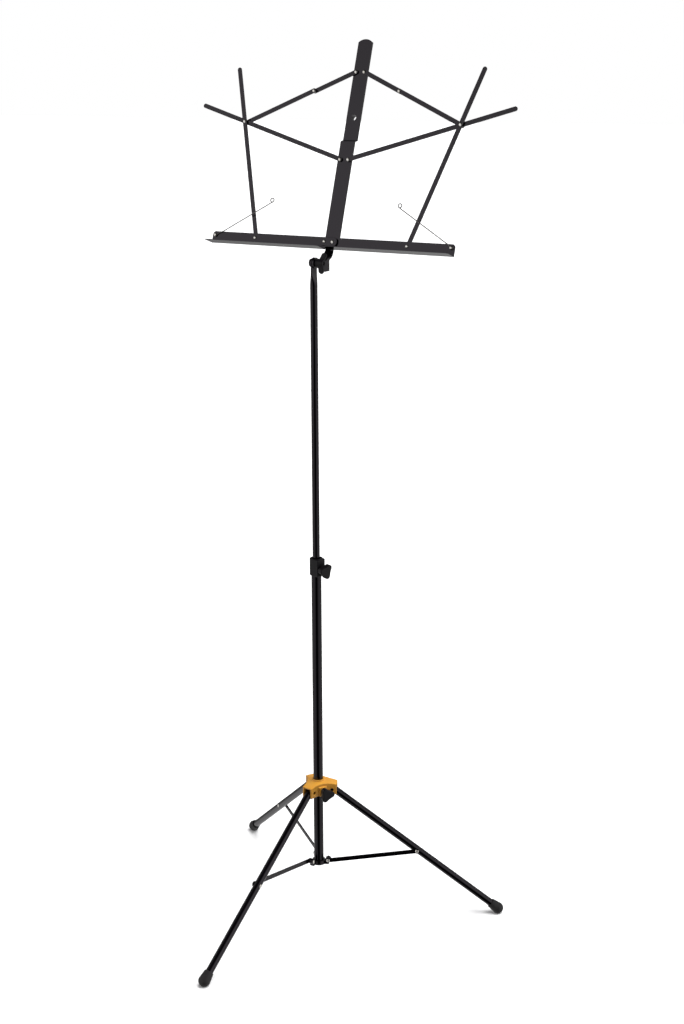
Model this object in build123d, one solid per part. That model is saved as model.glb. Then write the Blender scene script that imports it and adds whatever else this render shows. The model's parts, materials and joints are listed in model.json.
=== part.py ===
from build123d import *
from math import atan2, cos, degrees, hypot, radians, sin
import os

# Folding music stand: tripod, telescoping mast, tilting desk made of pivoted flat bars.
# Millimetres, +Z up. The reader stands on the -Y side. Parts are drawn around the mast axis
# and moved at the end so that the origin is the middle of the footprint, on the floor.

# --- fits ---
RUNNING_FIT = 0.08
MOVING_GAP = 0.4
SPACER_GAP = 0.3
CUT_MARGIN = 1.0
LONG_CUT = 20.0

BASE_ALIGN = (Align.CENTER, Align.CENTER, Align.MIN)

# --- mast ---
LOWER_TUBE_R = 9.2
LOWER_TUBE_WALL = 1.0
LOWER_TUBE_BOTTOM = 94.0
LOWER_TUBE_TOP = 703.0
UPPER_TUBE_R = 6.6
UPPER_TUBE_WALL = 1.0
UPPER_TUBE_BOTTOM = 620.0
UPPER_TUBE_TOP = 1207.0
TUBE_PLUG_LENGTH = 12.0
TUBE_INSIDE_R = LOWER_TUBE_R - LOWER_TUBE_WALL
GUIDE_PLUG_LENGTH = 24.0
GUIDE_SHOE_LENGTH = 12.0

# --- flattened mast top ---
BOLT_Z = 1245.0
BLADE_THICKNESS = 2.8
BLADE_WIDTH = 19.0
BLADE_RIGHT_FACE = 1.8
BLADE_X = BLADE_RIGHT_FACE - BLADE_THICKNESS / 2
BLADE_START_Z = 1228.0
BLADE_CORNER_R = 1.2
BOLT_R = 3.0
BOLT_HEAD_R = 7.2
BOLT_HEAD_LENGTH = 2.4
BOLT_HEAD_ROUND = 0.8
BOLT_FLANGE_R = 7.0
BOLT_FLANGE_LENGTH = 1.8
BOLT_GROOVE_R = 5.4
BOLT_GROOVE_LENGTH = 0.9
BOLT_END_X = BLADE_RIGHT_FACE + 17.2

# --- clamp screws ---
SCREW_R = 2.5
SCREW_TIP_GAP = 0.3
SCREW_IN_KNOB = 10.0

# --- three-lobed clamp knobs ---
LOBE_CENTRE_R = 9.2
LOBE_R = 5.4
HOLLOW_R = 22.0
HOLLOW_DEPTH = 0.7
LOBED_HEAD_LENGTH = 10.0
LOBED_STEM_R = 5.6
LOBED_FRONT_ROUND = 1.8
LOBED_BACK_ROUND = 0.8
COLLAR_KNOB_STEM = 2.5
COLLAR_KNOB_TURN = 15.0
HUB_KNOB_STEM = 11.0
HUB_KNOB_TURN = 90.0

# --- collar on top of the lower tube ---
COLLAR_BOTTOM = 676.0
COLLAR_TOP = 708.0
COLLAR_R = 12.2
COLLAR_FACE = 15.8
COLLAR_FAR_SIDE = 9.0
COLLAR_FAR_ROUND = 4.5
COLLAR_NEAR_ROUND = 0.9
COLLAR_TOP_CHAMFER = 0.8
COLLAR_BOTTOM_CHAMFER = 0.6
COLLAR_AZIMUTH = -16.0
COLLAR_KNOB_Z = 688.0
COLLAR_KNOB_AZIMUTH = -20.0
COLLAR_BOSS_R = 6.2
COLLAR_BOSS_END = 18.0
LINER_SLEEVE_LENGTH = 29.0
LINER_FLANGE_HEIGHT = 3.2
LINER_SLIT = 1.2

# --- tripod ---
LEG_AZIMUTHS = {"front": -96.0, "right": 24.0, "left": 144.0}
LEG_PIVOT_R = 27.0
LEG_PIVOT_Z = 250.0
LEG_END_R = 346.0
LEG_END_Z = 9.6
LEG_TUBE_R = 7.0
LEG_TUBE_WALL = 1.0
LEG_TOP_LENGTH = 12.0
LEG_DROP = atan2(LEG_PIVOT_Z - LEG_END_Z, LEG_END_R - LEG_PIVOT_R)
LEG_LENGTH = hypot(LEG_PIVOT_Z - LEG_END_Z, LEG_END_R - LEG_PIVOT_R)
BRACE_POINT = 0.51 * LEG_LENGTH
LEG_PIN_R = 3.3
FOOT_BALL_R = 11.0
FOOT_SLEEVE_R = 8.8
FOOT_SLEEVE_LENGTH = 17.0
FOOT_SEAT = 4.0
FLOOR_CUT = 60.0

# --- hub that slides on the lower tube ---
HUB_BOTTOM = 241.0
HUB_TOP = 266.0
HUB_RING_TOP = 268.5
HUB_RING_R = 11.8
HUB_LOBE_R = 36.0
HUB_LOBE_WIDTH = 21.6
HUB_WAIST_R = 20.3
HUB_SIDE_R = 51.0
HUB_ROOF_R = 150.0
HUB_PIN_RECESS = 1.8
HUB_CHEEK_CUT = 4.0
HUB_CORNER_ROUND = 1.5
HUB_BOSS_ROUND = 2.0
HUB_SLOT_WIDTH = 2 * LEG_TUBE_R + 1.0
HUB_SLOT_START = 18.2
HUB_SLOT_TOP = 259.0
HUB_BOSS_AZIMUTH = -36.0
HUB_BOSS_R = 24.0
HUB_BOSS_WIDTH = 16.0
HUB_BOSS_TOP = 259.0
HUB_KNOB_Z = 251.0

# --- bracket at the foot of the mast and the braces ---
BRACKET_PIVOT_R = 18.5
BRACKET_PIVOT_Z = 100.0
BRACKET_CORE_R = 12.2
BRACKET_BOTTOM = 90.0
BRACKET_TOP = 98.5
BRACKET_EAR_R = 5.2
BRACKET_EAR_BOTTOM = 91.0
BRACKET_EAR_OVERHANG = 1.5
BRACE_WIDTH = 8.2
BRACE_THICKNESS = 2.0
BRACE_INNER_FACE = -LEG_TUBE_R - 0.5
BRACE_OUTER_FACE = BRACE_INNER_FACE - BRACE_THICKNESS
EAR_BACK_FACE = BRACE_INNER_FACE + 0.4
EAR_FRONT_FACE = 1.6
BRACE_PIN_R = 1.8
BRACE_EYE_R = 5.0
PIN_PLAY = 0.2

# --- rivets ---
RIVET_HEAD_R = 3.3
RIVET_HEAD_HEIGHT = 1.2
RIVET_R = 1.7

# --- desk plane: U across, V up along the spine, W out towards the reader ---
DESK_TILT = 19.0
DESK_BASE_Y = 62.6
DESK_BASE_Z = 1273.0
PIVOT_HALF_SPACING = 8.25
SPINE_WIDTH = 28.0
SPINE_DEPTH = 4.0
SPINE_SHEET = 1.2
SPINE_BOTTOM_V = -11.0
SPINE_STEP_V = 183.0
SPINE_STEP_LENGTH = 4.0
SPINE_TOP_V = 369.5
SPINE_CROWN = 5.5
SPINE_SETBACK = 7.6
EYELET_V = 228.0
EYELET_HOLE_R = 5.4
EYELET_WALL = 1.6
EYELET_LENGTH = 11.0
CROSS_PIVOT_V = 150.0
LINK_PIVOT_V = 310.0
TRAY_TO_BAR = 145.5
BAR_TO_CROSSING = 224.0
CROSS_TO_CROSSING = TRAY_TO_BAR + BAR_TO_CROSSING - CROSS_PIVOT_V
UPRIGHT_LENGTH = 324.0
CROSS_LENGTH = 318.0
BAR_WIDTH = 8.0
BAR_THICKNESS = 2.0
SPACER_R = 3.6
INNER_LINK_W = -7.2
OUTER_LINK_W = -3.2
CROSS_W = 0.8
UPRIGHT_W = 4.6

# --- page trays ---
TRAY_SHEET = 1.2
TRAY_BACK_W = {"left": 8.6, "right": 7.0}
TRAY_END_U = 245.0
TRAY_TOP_V = 8.2
TRAY_SHELF_V = -12.2
TRAY_SHELF_DEPTH = 25.5
TRAY_INNER_REACH = 2.0
TRAY_CORNER_R = 6.0
TRAY_SHELF_CORNER_R = 3.0
TRAY_SPACER_R = 5.0
WIRE_PIVOT_U = 238.5
WIRE_PIVOT_V = 1.4

# --- plate over the tray pivots ---
PLATE_WIDTH = 34.0
PLATE_HEIGHT = 15.0
PLATE_SHEET = 1.6
PLATE_GAP = 0.4
PLATE_CORNER_R = 6.0
PLATE_EDGE_ROUND = 0.5

# --- bracket between desk and mast ---
BRACKET_SHEET = 2.5
NECK_WIDTH = 15.6
NECK_U = -3.0
NECK_START_V = -9.0
TWIST_START_V = -13.0
TWIST_STEPS = 6
STRIP_Y = 39.5
STRIP_TOP_Z = 1245.0
ARM_BEND_Y = 22.0
STRIP_BOTTOM_Z = 1226.0
EAR_X = BLADE_RIGHT_FACE + MOVING_GAP + BRACKET_SHEET / 2
BRACKET_PLATE_WIDTH = 24.0
BRACKET_PLATE_TOP_V = 10.0
EAR_EYE_R = 9.5
KNOB_START_X = EAR_X + BRACKET_SHEET / 2 + MOVING_GAP
TILT_BARREL_R = 6.6
TILT_BARREL_LENGTH = 15.4
TILT_WING_SPAN = 18.5
TILT_WING_START = 5.5
TILT_TIP_START = 10.0
TILT_TIP_END = 20.0
TILT_WING_THICKNESS = 5.0
TILT_ROOT_SHARE = 0.8
TILT_TIP_ROUND = 4.7
TILT_BARREL_ROUND = 1.2
TILT_KNOB_TURN = -22.0

# --- page wires ---
WIRE_R = 0.9
WIRE_GAP = 0.3
WIRE_LOOP_R = 3.6
WIRE_BEND = {"left": (-15.0, 6.4), "right": (-14.5, 9.4)}
WIRE_LOOP_CENTRE = (-109.6, 68.2)


def crossing_point():
    """Where the upright bar and the cross bar meet, right-hand side, in desk U and V."""
    base_u = PIVOT_HALF_SPACING + TRAY_TO_BAR
    span = hypot(base_u - PIVOT_HALF_SPACING, CROSS_PIVOT_V)
    along = (CROSS_TO_CROSSING**2 - BAR_TO_CROSSING**2 + span**2) / (2 * span)
    height = (CROSS_TO_CROSSING**2 - along**2) ** 0.5
    unit_u = (base_u - PIVOT_HALF_SPACING) / span
    unit_v = -CROSS_PIVOT_V / span
    crossing_u = PIVOT_HALF_SPACING + along * unit_u - height * unit_v
    crossing_v = CROSS_PIVOT_V + along * unit_v + height * unit_u
    return crossing_u, crossing_v


CROSSING_U, CROSSING_V = crossing_point()
LINK_SPAN = hypot(CROSSING_U - PIVOT_HALF_SPACING, CROSSING_V - LINK_PIVOT_V)
FOLDED_SPAN = CROSS_PIVOT_V + CROSS_TO_CROSSING - LINK_PIVOT_V
INNER_LINK = (LINK_SPAN - FOLDED_SPAN) / 2
OUTER_LINK = (LINK_SPAN + FOLDED_SPAN) / 2
LINK_ANGLE = atan2(CROSSING_V - LINK_PIVOT_V, CROSSING_U - PIVOT_HALF_SPACING)
UPRIGHT_ANGLE = atan2(CROSSING_V, CROSSING_U - PIVOT_HALF_SPACING - TRAY_TO_BAR)
CROSS_ANGLE = atan2(CROSSING_V - CROSS_PIVOT_V, CROSSING_U - PIVOT_HALF_SPACING)
KNEE_U = PIVOT_HALF_SPACING + INNER_LINK * cos(LINK_ANGLE)
KNEE_V = LINK_PIVOT_V + INNER_LINK * sin(LINK_ANGLE)

BRACE_END_R = LEG_PIVOT_R + BRACE_POINT * cos(LEG_DROP)
BRACE_END_Z = LEG_PIVOT_Z - BRACE_POINT * sin(LEG_DROP)
BRACE_LENGTH = hypot(BRACE_END_R - BRACKET_PIVOT_R, BRACE_END_Z - BRACKET_PIVOT_Z)
BRACE_RISE = atan2(BRACE_END_Z - BRACKET_PIVOT_Z, BRACE_END_R - BRACKET_PIVOT_R)

DESK_PLANE = Plane(
    origin=(0, DESK_BASE_Y, DESK_BASE_Z),
    x_dir=(1, 0, 0),
    z_dir=(0, -cos(radians(DESK_TILT)), sin(radians(DESK_TILT))),
)


def on_desk(shape):
    """Turn a shape drawn in desk coordinates (U, V, W) into stand coordinates."""
    return DESK_PLANE.location * shape


def around_mast(shape, azimuth):
    """Turn a shape drawn with X as the radial direction to its azimuth."""
    return Rot(0, 0, azimuth) * shape


def along_x(shape):
    """Turn a shape drawn along +Z so that it points along +X."""
    return Rot(0, 90, 0) * shape


def along_minus_y(shape):
    """Turn a shape drawn along +Z so that it points along -Y."""
    return Rot(90, 0, 0) * shape


def rod(radius, start, end):
    """Solid cylinder on the Z axis between two heights."""
    return Pos(0, 0, start) * Cylinder(radius, end - start, align=BASE_ALIGN)


def pipe(outer, inner, start, end):
    """Hollow cylinder on the Z axis between two heights."""
    return rod(outer, start, end) - rod(inner, start, end)


def dome(radius, height, base):
    """Domed rivet head standing on the plane Z = base."""
    ball = (radius**2 + height**2) / (2 * height)
    cap = Pos(0, 0, base + height - ball) * Sphere(ball)
    return cap & rod(radius, base, base + height)


def rivet(start, end, shank=RIVET_R):
    """Rivet along Z with a dome outside each end of its grip."""
    top = dome(RIVET_HEAD_R, RIVET_HEAD_HEIGHT, end)
    bottom = Pos(0, 0, start) * Rot(180, 0, 0) * dome(RIVET_HEAD_R, RIVET_HEAD_HEIGHT, 0)
    return rod(shank, start, end) + top + bottom


def headed_stub(start, end, shank=RIVET_R):
    """Rivet end: a shank filling one part and a dome on the +Z side."""
    return rod(shank, start, end) + dome(RIVET_HEAD_R, RIVET_HEAD_HEIGHT, end)


def box_between(x0, x1, y0, y1, z0, z1):
    """Box given by its limits."""
    size = (x1 - x0, y1 - y0, z1 - z0)
    return Pos((x0 + x1) / 2, (y0 + y1) / 2, (z0 + z1) / 2) * Box(*size)


def flat_bar(start, angle, length, bottom, hole_at):
    """Round-ended flat bar in the XY plane, drawn from its first pivot."""
    middle = Pos(length / 2, 0, 0) * SlotCenterToCenter(length, BAR_WIDTH)
    bar = extrude(middle, BAR_THICKNESS)
    for distance in hole_at:
        bar -= Pos(distance, 0, 0) * rod(RIVET_R + RUNNING_FIT, 0, BAR_THICKNESS)
    return Pos(start[0], start[1], bottom) * Rot(0, 0, degrees(angle)) * bar


def lobed_knob(stem_length, turn):
    """Three-lobed clamp knob along +Z: a stem, then a thick rounded triangle with hollow sides."""
    centres = [
        Location((LOBE_CENTRE_R * cos(radians(turn + a)), LOBE_CENTRE_R * sin(radians(turn + a))))
        for a in (0, 120, 240)
    ]
    plan = make_hull((Sketch() + [centre * Circle(LOBE_R) for centre in centres]).edges())
    head = extrude(plan, LOBED_HEAD_LENGTH)
    hollow_distance = HOLLOW_R + LOBE_CENTRE_R / 2 + LOBE_R - HOLLOW_DEPTH
    for a in (60, 180, 300):
        side = radians(turn + a)
        place = Pos(hollow_distance * cos(side), hollow_distance * sin(side), 0)
        head -= place * rod(HOLLOW_R, 0, LOBED_HEAD_LENGTH)
    head = fillet(head.faces().sort_by(Axis.Z)[-1].edges(), LOBED_FRONT_ROUND)
    head = fillet(head.faces().sort_by(Axis.Z)[0].edges(), LOBED_BACK_ROUND)
    stem = rod(LOBED_STEM_R, 0, stem_length)
    knob = Pos(0, 0, stem_length) * head + stem
    return knob - rod(SCREW_R, 0, SCREW_IN_KNOB)


def lower_tube():
    tube = pipe(LOWER_TUBE_R, TUBE_INSIDE_R, LOWER_TUBE_BOTTOM, LOWER_TUBE_TOP)
    screw_hole = along_x(rod(SCREW_R + RUNNING_FIT, 0, LOWER_TUBE_R + CUT_MARGIN))
    return tube - around_mast(Pos(0, 0, COLLAR_KNOB_Z) * screw_hole, COLLAR_KNOB_AZIMUTH)


def tube_plug():
    return rod(TUBE_INSIDE_R, LOWER_TUBE_BOTTOM, LOWER_TUBE_BOTTOM + TUBE_PLUG_LENGTH)


def height_collar():
    """Collar round the top of the lower tube, round at the back, with two flat faces in front."""
    body = rod(COLLAR_R, COLLAR_BOTTOM, COLLAR_TOP)
    front = box_between(0, COLLAR_FACE, -COLLAR_R, COLLAR_FAR_SIDE, COLLAR_BOTTOM, COLLAR_TOP)
    front_edges = front.edges().filter_by(Axis.Z).group_by(Axis.X)[-1].sort_by(Axis.Y)
    front = fillet(front_edges[-1], COLLAR_FAR_ROUND)
    near_edges = front.edges().filter_by(Axis.Z).group_by(Axis.Y)[0].sort_by(Axis.X)
    front = fillet(near_edges[-1], COLLAR_NEAR_ROUND)
    body += front
    body = chamfer(body.faces().sort_by(Axis.Z)[-1].edges(), COLLAR_TOP_CHAMFER)
    body = chamfer(body.faces().sort_by(Axis.Z)[0].edges(), COLLAR_BOTTOM_CHAMFER)
    body = around_mast(body, COLLAR_AZIMUTH)
    boss = Pos(0, 0, COLLAR_KNOB_Z) * along_x(rod(COLLAR_BOSS_R, 0, COLLAR_BOSS_END))
    screw_hole = Pos(0, 0, COLLAR_KNOB_Z) * along_x(rod(SCREW_R + RUNNING_FIT, 0, COLLAR_BOSS_END))
    body += around_mast(boss, COLLAR_KNOB_AZIMUTH)
    body -= rod(LOWER_TUBE_R, COLLAR_BOTTOM, COLLAR_TOP)
    return body - around_mast(screw_hole, COLLAR_KNOB_AZIMUTH)


def collar_liner():
    """Split plastic sleeve the upper tube slides and turns in."""
    inner = UPPER_TUBE_R + RUNNING_FIT
    bottom = LOWER_TUBE_TOP - LINER_SLEEVE_LENGTH
    top = LOWER_TUBE_TOP + LINER_FLANGE_HEIGHT
    sleeve = pipe(TUBE_INSIDE_R - RUNNING_FIT, inner, bottom, LOWER_TUBE_TOP)
    flange = pipe(LOWER_TUBE_R - RUNNING_FIT, inner, LOWER_TUBE_TOP, top)
    slit = box_between(0, LOWER_TUBE_R, -LINER_SLIT / 2, LINER_SLIT / 2, bottom, top)
    return sleeve + flange - around_mast(slit, 180.0)


def collar_screw():
    screw = rod(SCREW_R, TUBE_INSIDE_R + SCREW_TIP_GAP, COLLAR_BOSS_END + MOVING_GAP + SCREW_IN_KNOB)
    return around_mast(Pos(0, 0, COLLAR_KNOB_Z) * along_x(screw), COLLAR_KNOB_AZIMUTH)


def collar_knob():
    knob = lobed_knob(COLLAR_KNOB_STEM, COLLAR_KNOB_TURN)
    placed = Pos(COLLAR_BOSS_END + MOVING_GAP, 0, COLLAR_KNOB_Z) * along_x(knob)
    return around_mast(placed, COLLAR_KNOB_AZIMUTH)


def upper_tube():
    """Upper tube, flattened at the top into an upright blade with a bolt hole."""
    tube = pipe(UPPER_TUBE_R, UPPER_TUBE_R - UPPER_TUBE_WALL, UPPER_TUBE_BOTTOM, UPPER_TUBE_TOP)
    round_end = Pos(0, 0, UPPER_TUBE_TOP) * Circle(UPPER_TUBE_R)
    blade_section = RectangleRounded(BLADE_THICKNESS, BLADE_WIDTH, BLADE_CORNER_R)
    flat_end = Pos(BLADE_X, 0, BLADE_START_Z) * blade_section
    squeezed = loft([round_end, flat_end])
    x0 = BLADE_X - BLADE_THICKNESS / 2
    x1 = BLADE_X + BLADE_THICKNESS / 2
    half = BLADE_WIDTH / 2
    blade = box_between(x0, x1, -half, half, BLADE_START_Z, BOLT_Z)
    blade += Pos(x0, 0, BOLT_Z) * along_x(rod(half, 0, BLADE_THICKNESS))
    blade -= Pos(x0, 0, BOLT_Z) * along_x(rod(BOLT_R, 0, BLADE_THICKNESS))
    return tube + squeezed + blade


def guide_bush():
    """Plastic bush at the lower end of the upper tube, running in the lower tube."""
    inside = UPPER_TUBE_R - UPPER_TUBE_WALL
    plug = rod(inside, UPPER_TUBE_BOTTOM, UPPER_TUBE_BOTTOM + GUIDE_PLUG_LENGTH)
    shoe = rod(TUBE_INSIDE_R - RUNNING_FIT, UPPER_TUBE_BOTTOM - GUIDE_SHOE_LENGTH, UPPER_TUBE_BOTTOM)
    return plug + shoe


def tilt_bolt():
    """Bolt with a flange under its round head, through the blade, the ear and the knob."""
    x0 = BLADE_X - BLADE_THICKNESS / 2
    flange_end = -BOLT_FLANGE_LENGTH
    head_start = flange_end - BOLT_GROOVE_LENGTH
    head = rod(BOLT_HEAD_R, head_start - BOLT_HEAD_LENGTH, head_start)
    head = fillet(head.edges().filter_by(GeomType.CIRCLE), BOLT_HEAD_ROUND)
    flange = rod(BOLT_FLANGE_R, flange_end, 0)
    groove = rod(BOLT_GROOVE_R, head_start - CUT_MARGIN, flange_end + CUT_MARGIN)
    shank = rod(BOLT_R, 0, BOLT_END_X - x0)
    return Pos(x0, 0, BOLT_Z) * along_x(head + groove + flange + shank)


def tilt_knob():
    """Wing knob on the bolt: a barrel and two round-tipped wings, bored through."""
    root = TILT_BARREL_R * TILT_ROOT_SHARE
    outline = [
        (root, TILT_WING_START),
        (TILT_WING_SPAN, TILT_TIP_START),
        (TILT_WING_SPAN, TILT_TIP_END),
        (root, TILT_BARREL_LENGTH),
    ]
    other_side = [(-x, z) for x, z in reversed(outline)]
    wing = Plane.XZ * make_face(Polyline(*outline, *other_side, close=True))
    wings = extrude(wing, TILT_WING_THICKNESS / 2, both=True)
    tip_edges = wings.edges().filter_by(Axis.Y).sort_by(Axis.X)
    wings = fillet(tip_edges[:2] + tip_edges[-2:], TILT_TIP_ROUND)
    barrel = rod(TILT_BARREL_R, 0, TILT_BARREL_LENGTH)
    barrel = fillet(barrel.edges().sort_by(Axis.Z)[-1], TILT_BARREL_ROUND)
    knob = barrel + wings - rod(BOLT_R + RUNNING_FIT, 0, TILT_TIP_END)
    placed = Pos(KNOB_START_X, 0, BOLT_Z) * along_x(knob)
    return placed.rotate(Axis((0, 0, BOLT_Z), (1, 0, 0)), TILT_KNOB_TURN)


def hub_plan():
    """Outline of the hub from above: three lobes joined by long hollow sides."""
    half_angle = degrees(atan2(HUB_LOBE_WIDTH / 2, HUB_LOBE_R))
    corner_r = hypot(HUB_LOBE_R, HUB_LOBE_WIDTH / 2)
    corners = []
    for azimuth in LEG_AZIMUTHS.values():
        for turn in (-half_angle, half_angle):
            angle = radians(azimuth + turn)
            corners.append((corner_r * cos(angle), corner_r * sin(angle)))
    plan = make_face(Polyline(*corners, close=True))
    for azimuth in LEG_AZIMUTHS.values():
        side = radians(azimuth + 60)
        distance = HUB_WAIST_R + HUB_SIDE_R
        plan -= Pos(distance * cos(side), distance * sin(side)) * Circle(HUB_SIDE_R)
    return plan


def hub():
    """Plastic hub with three slotted lobes for the legs and a boss for the clamp screw."""
    body = extrude(Pos(0, 0, HUB_BOTTOM) * hub_plan(), HUB_TOP - HUB_BOTTOM)
    body = fillet(body.edges().filter_by(Axis.Z), HUB_CORNER_ROUND)
    body = body & Pos(0, 0, HUB_TOP - HUB_ROOF_R) * Sphere(HUB_ROOF_R)
    body += rod(HUB_RING_R, HUB_BOTTOM, HUB_RING_TOP)
    half_boss = HUB_BOSS_WIDTH / 2
    boss = box_between(0, HUB_BOSS_R, -half_boss, half_boss, HUB_BOTTOM, HUB_BOSS_TOP)
    boss = fillet(boss.edges().filter_by(Axis.Z).group_by(Axis.X)[-1], HUB_BOSS_ROUND)
    body += around_mast(boss, HUB_BOSS_AZIMUTH)
    half = HUB_LOBE_WIDTH / 2
    slot_half = HUB_SLOT_WIDTH / 2
    slot_end = HUB_LOBE_R + CUT_MARGIN
    slot_bottom = HUB_BOTTOM - CUT_MARGIN
    slot = box_between(HUB_SLOT_START, slot_end, -slot_half, slot_half, slot_bottom, HUB_SLOT_TOP)
    hole_reach = half + HUB_CHEEK_CUT
    pin_hole = rod(LEG_PIN_R, -hole_reach, hole_reach)
    pin_hole = Pos(LEG_PIVOT_R, 0, LEG_PIVOT_Z) * along_minus_y(pin_hole)
    for azimuth in LEG_AZIMUTHS.values():
        body -= around_mast(slot, azimuth)
        body -= around_mast(pin_hole, azimuth)
    body -= rod(LOWER_TUBE_R + RUNNING_FIT, HUB_BOTTOM, HUB_RING_TOP)
    screw_hole = Pos(0, 0, HUB_KNOB_Z) * along_x(rod(SCREW_R + RUNNING_FIT, 0, HUB_BOSS_R))
    return body - around_mast(screw_hole, HUB_BOSS_AZIMUTH)


def hub_pins():
    """Three pivot pins, one across each lobe, set just below the cheek faces."""
    reach = HUB_LOBE_WIDTH / 2 - HUB_PIN_RECESS
    pin = Pos(LEG_PIVOT_R, 0, LEG_PIVOT_Z) * along_minus_y(rod(LEG_PIN_R, -reach, reach))
    return Compound(children=[around_mast(pin, azimuth) for azimuth in LEG_AZIMUTHS.values()])


def hub_screw():
    screw = rod(SCREW_R, LOWER_TUBE_R + SCREW_TIP_GAP, HUB_BOSS_R + MOVING_GAP + SCREW_IN_KNOB)
    return around_mast(Pos(0, 0, HUB_KNOB_Z) * along_x(screw), HUB_BOSS_AZIMUTH)


def hub_knob():
    knob = lobed_knob(HUB_KNOB_STEM, HUB_KNOB_TURN)
    placed = Pos(HUB_BOSS_R + MOVING_GAP, 0, HUB_KNOB_Z) * along_x(knob)
    return around_mast(placed, HUB_BOSS_AZIMUTH)


def leg_frame(shape):
    """Move a shape drawn along +Z from the leg pivot so that it lies along the leg."""
    return Pos(LEG_PIVOT_R, 0, LEG_PIVOT_Z) * Rot(0, 90 + degrees(LEG_DROP), 0) * shape


def leg_tube():
    """Leg tube with a closed, rounded top on its pivot pin."""
    tube = pipe(LEG_TUBE_R, LEG_TUBE_R - LEG_TUBE_WALL, LEG_TOP_LENGTH, LEG_LENGTH - FOOT_SEAT)
    top = rod(LEG_TUBE_R, 0, LEG_TOP_LENGTH) + along_minus_y(rod(LEG_TUBE_R, -LEG_TUBE_R, LEG_TUBE_R))
    top -= along_minus_y(rod(LEG_PIN_R + RUNNING_FIT, -LEG_TUBE_R, LEG_TUBE_R))
    top = top & rod(LEG_TUBE_R, -LEG_TUBE_R, LEG_TOP_LENGTH)
    rivet_hole = Pos(0, 0, BRACE_POINT) * along_minus_y(rod(BRACE_PIN_R, -LEG_TUBE_R, LEG_TUBE_R))
    return leg_frame(tube + top - rivet_hole)


def leg_rivet():
    """Rivet through the leg tube, its dome on the side away from the brace."""
    inner = -LEG_TUBE_R
    body = rod(BRACE_PIN_R, inner, LEG_TUBE_R) + dome(RIVET_HEAD_R, RIVET_HEAD_HEIGHT, LEG_TUBE_R)
    return leg_frame(Pos(0, 0, BRACE_POINT) * Rot(-90, 0, 0) * body)


def rubber_foot():
    """Rubber cap on the leg end, worn flat where it stands on the floor."""
    ball = Sphere(FOOT_BALL_R)
    sleeve = Cone(FOOT_SLEEVE_R, FOOT_BALL_R - RUNNING_FIT, FOOT_SLEEVE_LENGTH, align=BASE_ALIGN)
    cap = Pos(0, 0, -FOOT_SLEEVE_LENGTH) * sleeve + ball
    cap -= rod(LEG_TUBE_R, -FOOT_SLEEVE_LENGTH, -FOOT_SEAT)
    cap = leg_frame(Pos(0, 0, LEG_LENGTH) * cap)
    below = box_between(-FLOOR_CUT, FLOOR_CUT, -FLOOR_CUT, FLOOR_CUT, -FLOOR_CUT, 0)
    floor = Pos(LEG_END_R, 0, 0) * below
    return cap - floor


def bottom_bracket():
    """Black foot bracket with three ears for the braces."""
    body = rod(BRACKET_CORE_R, BRACKET_BOTTOM, BRACKET_TOP)
    hole = Pos(BRACKET_PIVOT_R, 0, BRACKET_PIVOT_Z) * along_minus_y(
        rod(BRACE_PIN_R, -LONG_CUT, LONG_CUT)
    )
    for azimuth in LEG_AZIMUTHS.values():
        ear = box_between(
            0,
            BRACKET_PIVOT_R + BRACKET_EAR_OVERHANG,
            EAR_BACK_FACE,
            EAR_FRONT_FACE,
            BRACKET_EAR_BOTTOM,
            BRACKET_TOP,
        )
        eye = Pos(BRACKET_PIVOT_R, 0, BRACKET_PIVOT_Z) * along_minus_y(
            rod(BRACKET_EAR_R, -EAR_FRONT_FACE, -EAR_BACK_FACE)
        )
        body += around_mast(ear + eye, azimuth)
    body -= rod(LOWER_TUBE_R, LOWER_TUBE_BOTTOM, BRACKET_TOP + BRACKET_EAR_R)
    for azimuth in LEG_AZIMUTHS.values():
        body -= around_mast(hole, azimuth)
    return body


def bracket_rivets():
    """Three rivets that hold the braces to the bracket ears."""
    grip = rivet(-EAR_FRONT_FACE, -BRACE_OUTER_FACE + PIN_PLAY, BRACE_PIN_R)
    pin = Pos(BRACKET_PIVOT_R, 0, BRACKET_PIVOT_Z) * along_minus_y(grip)
    return Compound(children=[around_mast(pin, azimuth) for azimuth in LEG_AZIMUTHS.values()])


def brace():
    """Flat brace on edge beside the leg, from the bracket ear to the leg rivet."""
    strip = Pos(BRACE_LENGTH / 2, 0, 0) * SlotCenterToCenter(BRACE_LENGTH, BRACE_WIDTH)
    body = extrude(strip, BRACE_THICKNESS)
    for end in (0, BRACE_LENGTH):
        body += Pos(end, 0, 0) * rod(BRACE_EYE_R, 0, BRACE_THICKNESS)
    body -= rod(BRACE_PIN_R + RUNNING_FIT, 0, BRACE_THICKNESS)
    body -= Pos(BRACE_LENGTH, 0, 0) * rod(BRACE_PIN_R, 0, BRACE_THICKNESS)
    upright = Rot(90, 0, 0) * Rot(0, 0, degrees(BRACE_RISE)) * body
    return Pos(BRACKET_PIVOT_R, BRACE_INNER_FACE, BRACKET_PIVOT_Z) * upright


def brace_stud():
    """Rivet end in the outer eye of the brace, its dome on the outside."""
    stud = headed_stub(-BRACE_INNER_FACE, -BRACE_OUTER_FACE, BRACE_PIN_R)
    return Pos(BRACE_END_R, 0, BRACE_END_Z) * along_minus_y(stud)


def side_sign(side):
    """+1 on the reader's right, -1 on the left."""
    return 1 if side == "right" else -1


def mirrored(shape, side):
    """Keep a shape drawn for the right-hand side, or mirror it to the left."""
    return shape if side == "right" else mirror(shape, Plane.YZ)


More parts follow.
